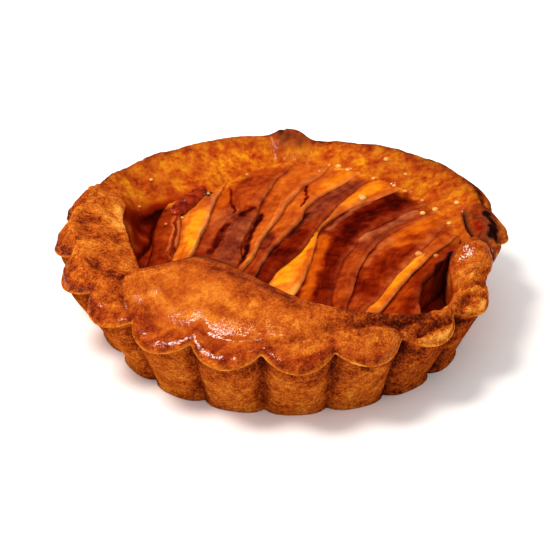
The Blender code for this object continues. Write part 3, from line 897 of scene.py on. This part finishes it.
def slice_shape(number):
    """The shape function of one slice, for the fine sheet that is wrapped into it."""
    rows = [slice_line(number, min(0.985, max(0.015, row / SLICE_ALONG))) for row in range(SLICE_ALONG + 1)]
    bottom = FILLING_TOP + GAP

    def shape(column, row):
        left, right, width, section = rows[row]
        place = column_places[column]
        reach, level, extra = through(section, place)
        s = reach / max(width, 0.1)
        x, y = mix(left[0], right[0], s), mix(left[1], right[1], s)
        if row in (0, SLICE_ALONG):
            x, y = mix(left[0], right[0], 0.5), mix(left[1], right[1], 0.5)
            level, extra = 0.5, 0.0
        pushed = (x - 2.2) / 3.0 * math.exp(-(((x - 2.2) / 5.0) ** 2)) * (1.0 - ramp(-6.0, 8.0, y))
        wavy = 0.35 * rough(x, y, 5.0 * number, 4.0, 2.0) * ramp(0.3, 0.9, s)
        x += 1.8 * pushed + 1.3 * rough(x, y, 0.0, 9.0, 73.0) + wavy
        z = bottom + (fruit_top(x, y) - bottom) * level + extra
        paint, lift = fruit_paint(number, s, row / SLICE_ALONG, x, y, z)
        paint["across"], paint["along"] = 20.0 * number + reach, y
        bearing = bearing_of(x, y)
        sunk = open_slope(bearing) * ramp(-1.5, 1.5, math.hypot(x, y) - slope_foot(bearing)[0])
        return (x, y, z + (lift - sunk) * ramp(0.6, 1.0, level)), paint

    return shape


slices = []
for number in range(1, len(SLICE_EDGES) + 1):
    made = wrap(f"peach_slice_{number:02d}", sum(COLUMNS_TO_NEXT), SLICE_ALONG, slice_shape(number))
    slices.append(made)
    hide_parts(f"slice_{number:02d}")
    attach(made, "root")

# %% [markdown]
# ## Baked peach flesh
#
# Peach flesh is soft, wet and a little translucent. Baking concentrates its sugar, and it goes from yellow
# through orange to a deep red-brown, so one row of colours serves all slices and the painted tone picks the
# place in it. Skin gives duller, pinker browns. Fibres run along a slice, and drying pulls them up in fine
# ridges. A thin uneven coat stands for the juice that still wets it.

# %% Peach material
peach_look, tree, shader, paint, place = surface("baked peach flesh", FRUIT_PAINTS)
lengthwise = add(tree, "Math", {0: paint["along"], 1: 0.2}, operation="MULTIPLY")
flow = add(tree, "CombineXYZ", {0: paint["across"], 1: lengthwise})
fibres = add(tree, "TexNoise", {"Vector": flow, "Scale": 1.1, "Detail": 3.0})
FIBRE_GRAIN = 0.4 * MM
BLOTCH = 2.2 * MM
fine, blotches, patches, crumbs = (
    add(tree, "TexNoise", {"Vector": place, "Scale": 1.0 / size, "Detail": detail})
    for size, detail in ((FIBRE_GRAIN, 2.0), (BLOTCH, 3.0), (PATCH, 3.0), (CRUMB, 2.0))
)
streaky = add(tree, "MapRange", {"Value": fibres, 1: 0.3, 2: 0.7, 3: -0.05, 4: 0.05})
blotchy = add(tree, "MapRange", {"Value": blotches, 1: 0.3, 2: 0.7, 3: -0.08, 4: 0.08})
shade = add(tree, "Math", {0: streaky, 1: paint["tone"]}, operation="ADD")
shade = add(tree, "Math", {0: shade, 1: blotchy}, operation="ADD")
flesh = add(tree, "ValToRGB", {"Fac": shade}, stops=[
    (0.0, "#f0960e"), (1.0, "#200200"), (0.15, "#dc780a"), (0.3, "#c25806"), (0.45, "#a84004"),
    (0.6, "#862402"), (0.75, "#641000"), (0.88, "#420400")])
# Skin colours, duller and pinker; through the skin share they also paint the pale sheen on some marks and the
# pale line along free edges: painted reflection and painted highlight.
skin = add(tree, "ValToRGB", {"Fac": shade}, stops=[
    (0.0, "#d89c64"), (1.0, "#180806"), (0.3, "#b86a3c"), (0.5, "#904828"), (0.7, "#642414"),
    (0.85, "#3c100a")])
flesh = add(tree, "Mix", {0: paint["skin"], 6: flesh, 7: skin}, out=2, data_type="RGBA")
gold_colour = golden(tree, patches, crumbs)
flesh = add(tree, "Mix", {0: paint["gold"], 6: flesh, 7: gold_colour}, out=2, data_type="RGBA")
tree.links.new(flesh, shader.inputs["Base Color"])
shader.inputs["Roughness"].default_value = 0.5
shader.inputs["Specular IOR Level"].default_value = 0.0
tree.links.new(paint["wet"], shader.inputs["Coat Weight"])
shader.inputs["Coat Roughness"].default_value = 0.06
shader.inputs["Subsurface Weight"].default_value = 0.15
shader.inputs["Subsurface Radius"].default_value = (1.0, 0.35, 0.1)
shader.inputs["Subsurface Scale"].default_value = 2.0 * MM
pulled = add(tree, "Bump", {"Height": fibres, "Distance": 0.25 * MM, "Strength": 0.5})
bumpy = add(tree, "Bump", {"Height": fine, "Distance": 0.06 * MM, "Strength": 0.6, "Normal": pulled})
tree.links.new(bumpy, shader.inputs["Normal"])
tree.links.new(bumpy, shader.inputs["Coat Normal"])
for made in slices:
    made.data.materials.append(peach_look)

# %% [markdown]
# ## The juice under the fruit
#
# Juice and sugar boiled down to a dark caramel that fills the shell under the slices. Little of it shows, in
# the pit at the left and the gap at the right, but from above it must be there. It is one more wrapped sheet.

# %% Filling
FILLING_ACROSS, FILLING_ALONG = 180, 60


def filling_shape(column, row):
    bearing, v = column * 360.0 / FILLING_ACROSS, row / FILLING_ALONG
    reach = floor_radius(bearing) - 0.2
    top = mix(reach, brow(bearing)[0] - WALL_BATTER, 0.5)
    section = [
        (0.0, 4.35), (reach * 0.6, 4.35), (reach - 1.5, 4.35), (reach, 6.0), (top, 9.8),
        (top - 2.0, 9.3), (reach * 0.6, 9.5), (0.0, 9.6),
    ]
    radius, z = through(section, v * (len(section) - 1))
    x, y = on_plan(bearing, max(0.0, radius))
    return (x, y, z), {"depth": 1.0}


filling = wrap("caramel_filling", FILLING_ACROSS, FILLING_ALONG, filling_shape)
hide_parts("filling")
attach(filling, "root")
juice_look, tree, shader, paint, place = surface("caramelised peach juice", ())
clouds = add(tree, "TexNoise", {"Vector": place, "Scale": 1.0 / (3.0 * MM), "Detail": 2.0})
juice_colour = add(tree, "ValToRGB", {"Fac": clouds}, stops=[(0.35, "#7a1200"), (0.7, "#a83004")])
tree.links.new(juice_colour, shader.inputs["Base Color"])
shader.inputs["Roughness"].default_value = 0.15
filling.data.materials.append(juice_look)

# %% [markdown]
# ## Jam lump and bubbles
#
# Boiling juice left a soft lump of jam at the back on the left, and small round bubbles that set as they
# cooled. Each is a flattened ball pressed into the surface under it. The lump is several balls melted into
# one, with its surface moved a little by noise.

# %% Jam lump and bubbles
# x and y on the plan and the radius, in mm.
BUBBLES = (
    (13.8, 37.5, 0.9), (16.2, 34.8, 0.7), (26.0, 35.5, 0.8), (19.2, 19.8, 1.2), (30.0, 22.5, 0.6),
    (33.6, 10.6, 0.7), (36.8, 12.4, 0.8), (31.5, -7.4, 0.9), (35.4, -9.1, 0.6), (42.0, 12.6, 0.7),
    (39.6, 5.6, 0.6), (27.5, 25.8, 0.5), (-29.0, 13.0, 0.4), (-25.2, 16.5, 0.4), (-19.0, 26.5, 0.6),
    (-9.5, 36.0, 0.4), (22.5, 29.5, 0.5), (9.0, 35.5, 0.5), (37.5, -17.0, 0.6), (-33.5, 27.5, 0.5),
    (-36.0, 19.5, 0.4), (30.5, 29.0, 0.5), (34.0, 17.5, 0.5),
)
JAM_LUMP = (
    (-26.8, 18.0, 1.5), (-26.1, 19.4, 2.0), (-25.3, 20.9, 2.3), (-24.3, 22.4, 2.5), (-23.4, 23.8, 2.4),
    (-22.5, 25.2, 2.3), (-21.7, 26.6, 1.9), (-21.0, 27.8, 1.5),
)
BURNT_BITS = (
    (-19.9, 26.2, 0.7), (-19.1, 25.2, 0.5), (-18.6, 26.6, 0.6), (-19.4, 27.4, 0.5), (-27.6, 21.6, 0.5),
    (-25.0, 25.6, 0.5), (-28.2, 19.9, 0.4),
)
under_drops = [shell, filling] + slices
trees = [BVHTree.FromObject(piece, bpy.context.evaluated_depsgraph_get()) for piece in under_drops]


def surface_height(x, y):
    """The height of the uppermost surface at a place on the plan."""
    start = Vector((x * MM, y * MM, 60.0 * MM))
    hits = [tree.ray_cast(start, Vector((0.0, 0.0, -1.0)))[0] for tree in trees]
    return max(hit.z for hit in hits if hit is not None) / MM


def ball(x, y, size, flatness, segments):
    """A flattened ball of the given radius in millimetres, set a little into the surface."""
    fresh()
    middle = [value * MM for value in (x, y, surface_height(x, y) + 0.1 * size)]
    rings, radius = segments // 2, size * MM
    bpy.ops.mesh.primitive_uv_sphere_add(segments=segments, ring_count=rings, radius=radius, location=middle)
    bpy.context.object.scale = (1.0, 1.0, flatness)
    return bpy.context.object


def joined(name, pieces):
    """The pieces as one object at the origin."""
    fresh()
    for piece in pieces:
        piece.select_set(True)
    bpy.context.view_layer.objects.active = pieces[0]
    if len(pieces) > 1:
        bpy.ops.object.join()
    bpy.ops.object.transform_apply(location=True, rotation=True, scale=True)
    bpy.ops.object.shade_smooth()
    made = bpy.context.object
    made.name = made.data.name = name
    return made


lump = joined("jam_lump", [ball(x, y, size, 0.66, 24) for x, y, size in JAM_LUMP])
bpy.ops.object.modifier_add(type="REMESH")
lump.modifiers[-1].mode = "VOXEL"
lump.modifiers[-1].voxel_size = 0.18 * MM
bpy.ops.object.modifier_apply(modifier=lump.modifiers[-1].name)
bpy.ops.object.modifier_add(type="SMOOTH")
lump.modifiers[-1].iterations = 20
bpy.ops.object.modifier_apply(modifier=lump.modifiers[-1].name)
bpy.ops.object.shade_smooth()
for vertex in lump.data.vertices:
    x, y, z = vertex.co / MM
    vertex.co += vertex.normal * MM * (0.40 * rough(x, y, z, 1.9, 81.0) + 0.15 * rough(x, y, z, 0.8, 83.0))
bubbles = joined("juice_bubbles", [ball(x, y, 1.05 * size, 0.7, 16) for x, y, size in BUBBLES])
bits = joined("burnt_bits", [ball(x, y, size, 0.8, 12) for x, y, size in BURNT_BITS])
LOOKS = (
    (lump, "#640a00", "#a02c02", 0.06),
    # The bubbles' colour is set juice, lightened to a cream-amber that stands for the glint on each: partly
    # painted highlight.
    (bubbles, "#c87420", "#ecb058", 0.2),
    (bits, "#2a0a02", "#7a3408", 0.1),
)
for made, first, second, softness in LOOKS:
    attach(made, "root")
    jam_look, tree, shader, paint, place = surface(made.name.replace("_", " ") + " of peach juice", ())
    clouds = add(tree, "TexNoise", {"Vector": place, "Scale": 1.0 / (1.8 * MM), "Detail": 2.0})
    jam_colour = add(tree, "ValToRGB", {"Fac": clouds}, stops=[(0.35, first), (0.65, second)])
    tree.links.new(jam_colour, shader.inputs["Base Color"])
    shader.inputs["Roughness"].default_value = 0.4
    shader.inputs["Specular IOR Level"].default_value = 0.1
    shader.inputs["Coat Weight"].default_value = 1.0
    shader.inputs["Coat Roughness"].default_value = softness
    made.data.materials.append(jam_look)
